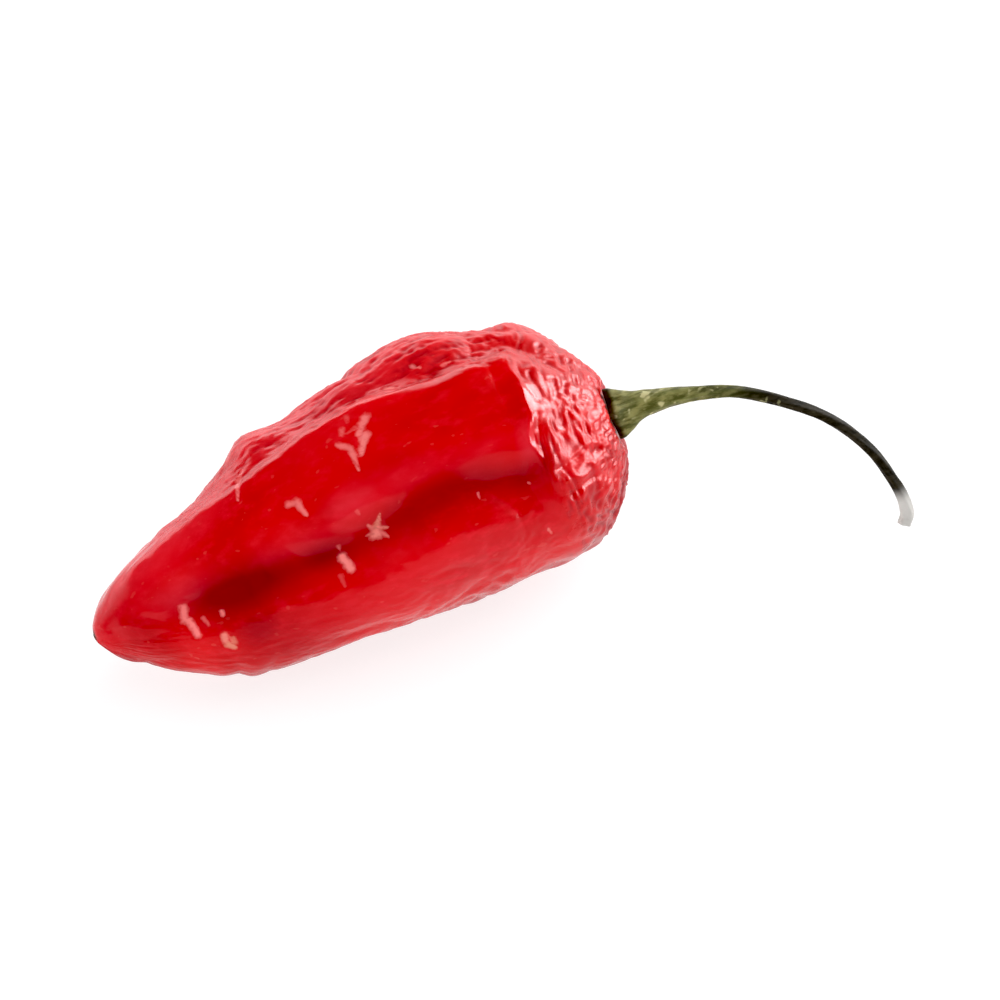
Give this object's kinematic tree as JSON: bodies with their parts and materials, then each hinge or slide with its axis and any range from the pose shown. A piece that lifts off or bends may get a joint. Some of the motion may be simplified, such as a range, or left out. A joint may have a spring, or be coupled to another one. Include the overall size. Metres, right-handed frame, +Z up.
{
  "type": "chilli pepper",
  "caption": "Hot chilli pepper with a wrinkled, lobed, tapering red pod, a small green calyx and a thin curved stalk, lying on its side.",
  "frame": {"origin": "middle of the whole pepper's footprint, on the table that it lies on", "axes": "+X along the pod from its tip to its stalk, +Y to its far side, +Z up"},
  "size_m": [0.0965, 0.035, 0.0305],
  "materials": {
    "pod_skin": "glossy, crumpled skin",
    "stem_skin": "satin, green and drying"
  },
  "bodies": {
    "root": {"pod": "pod_skin", "stem": "stem_skin"}
  },
  "joints": []
}
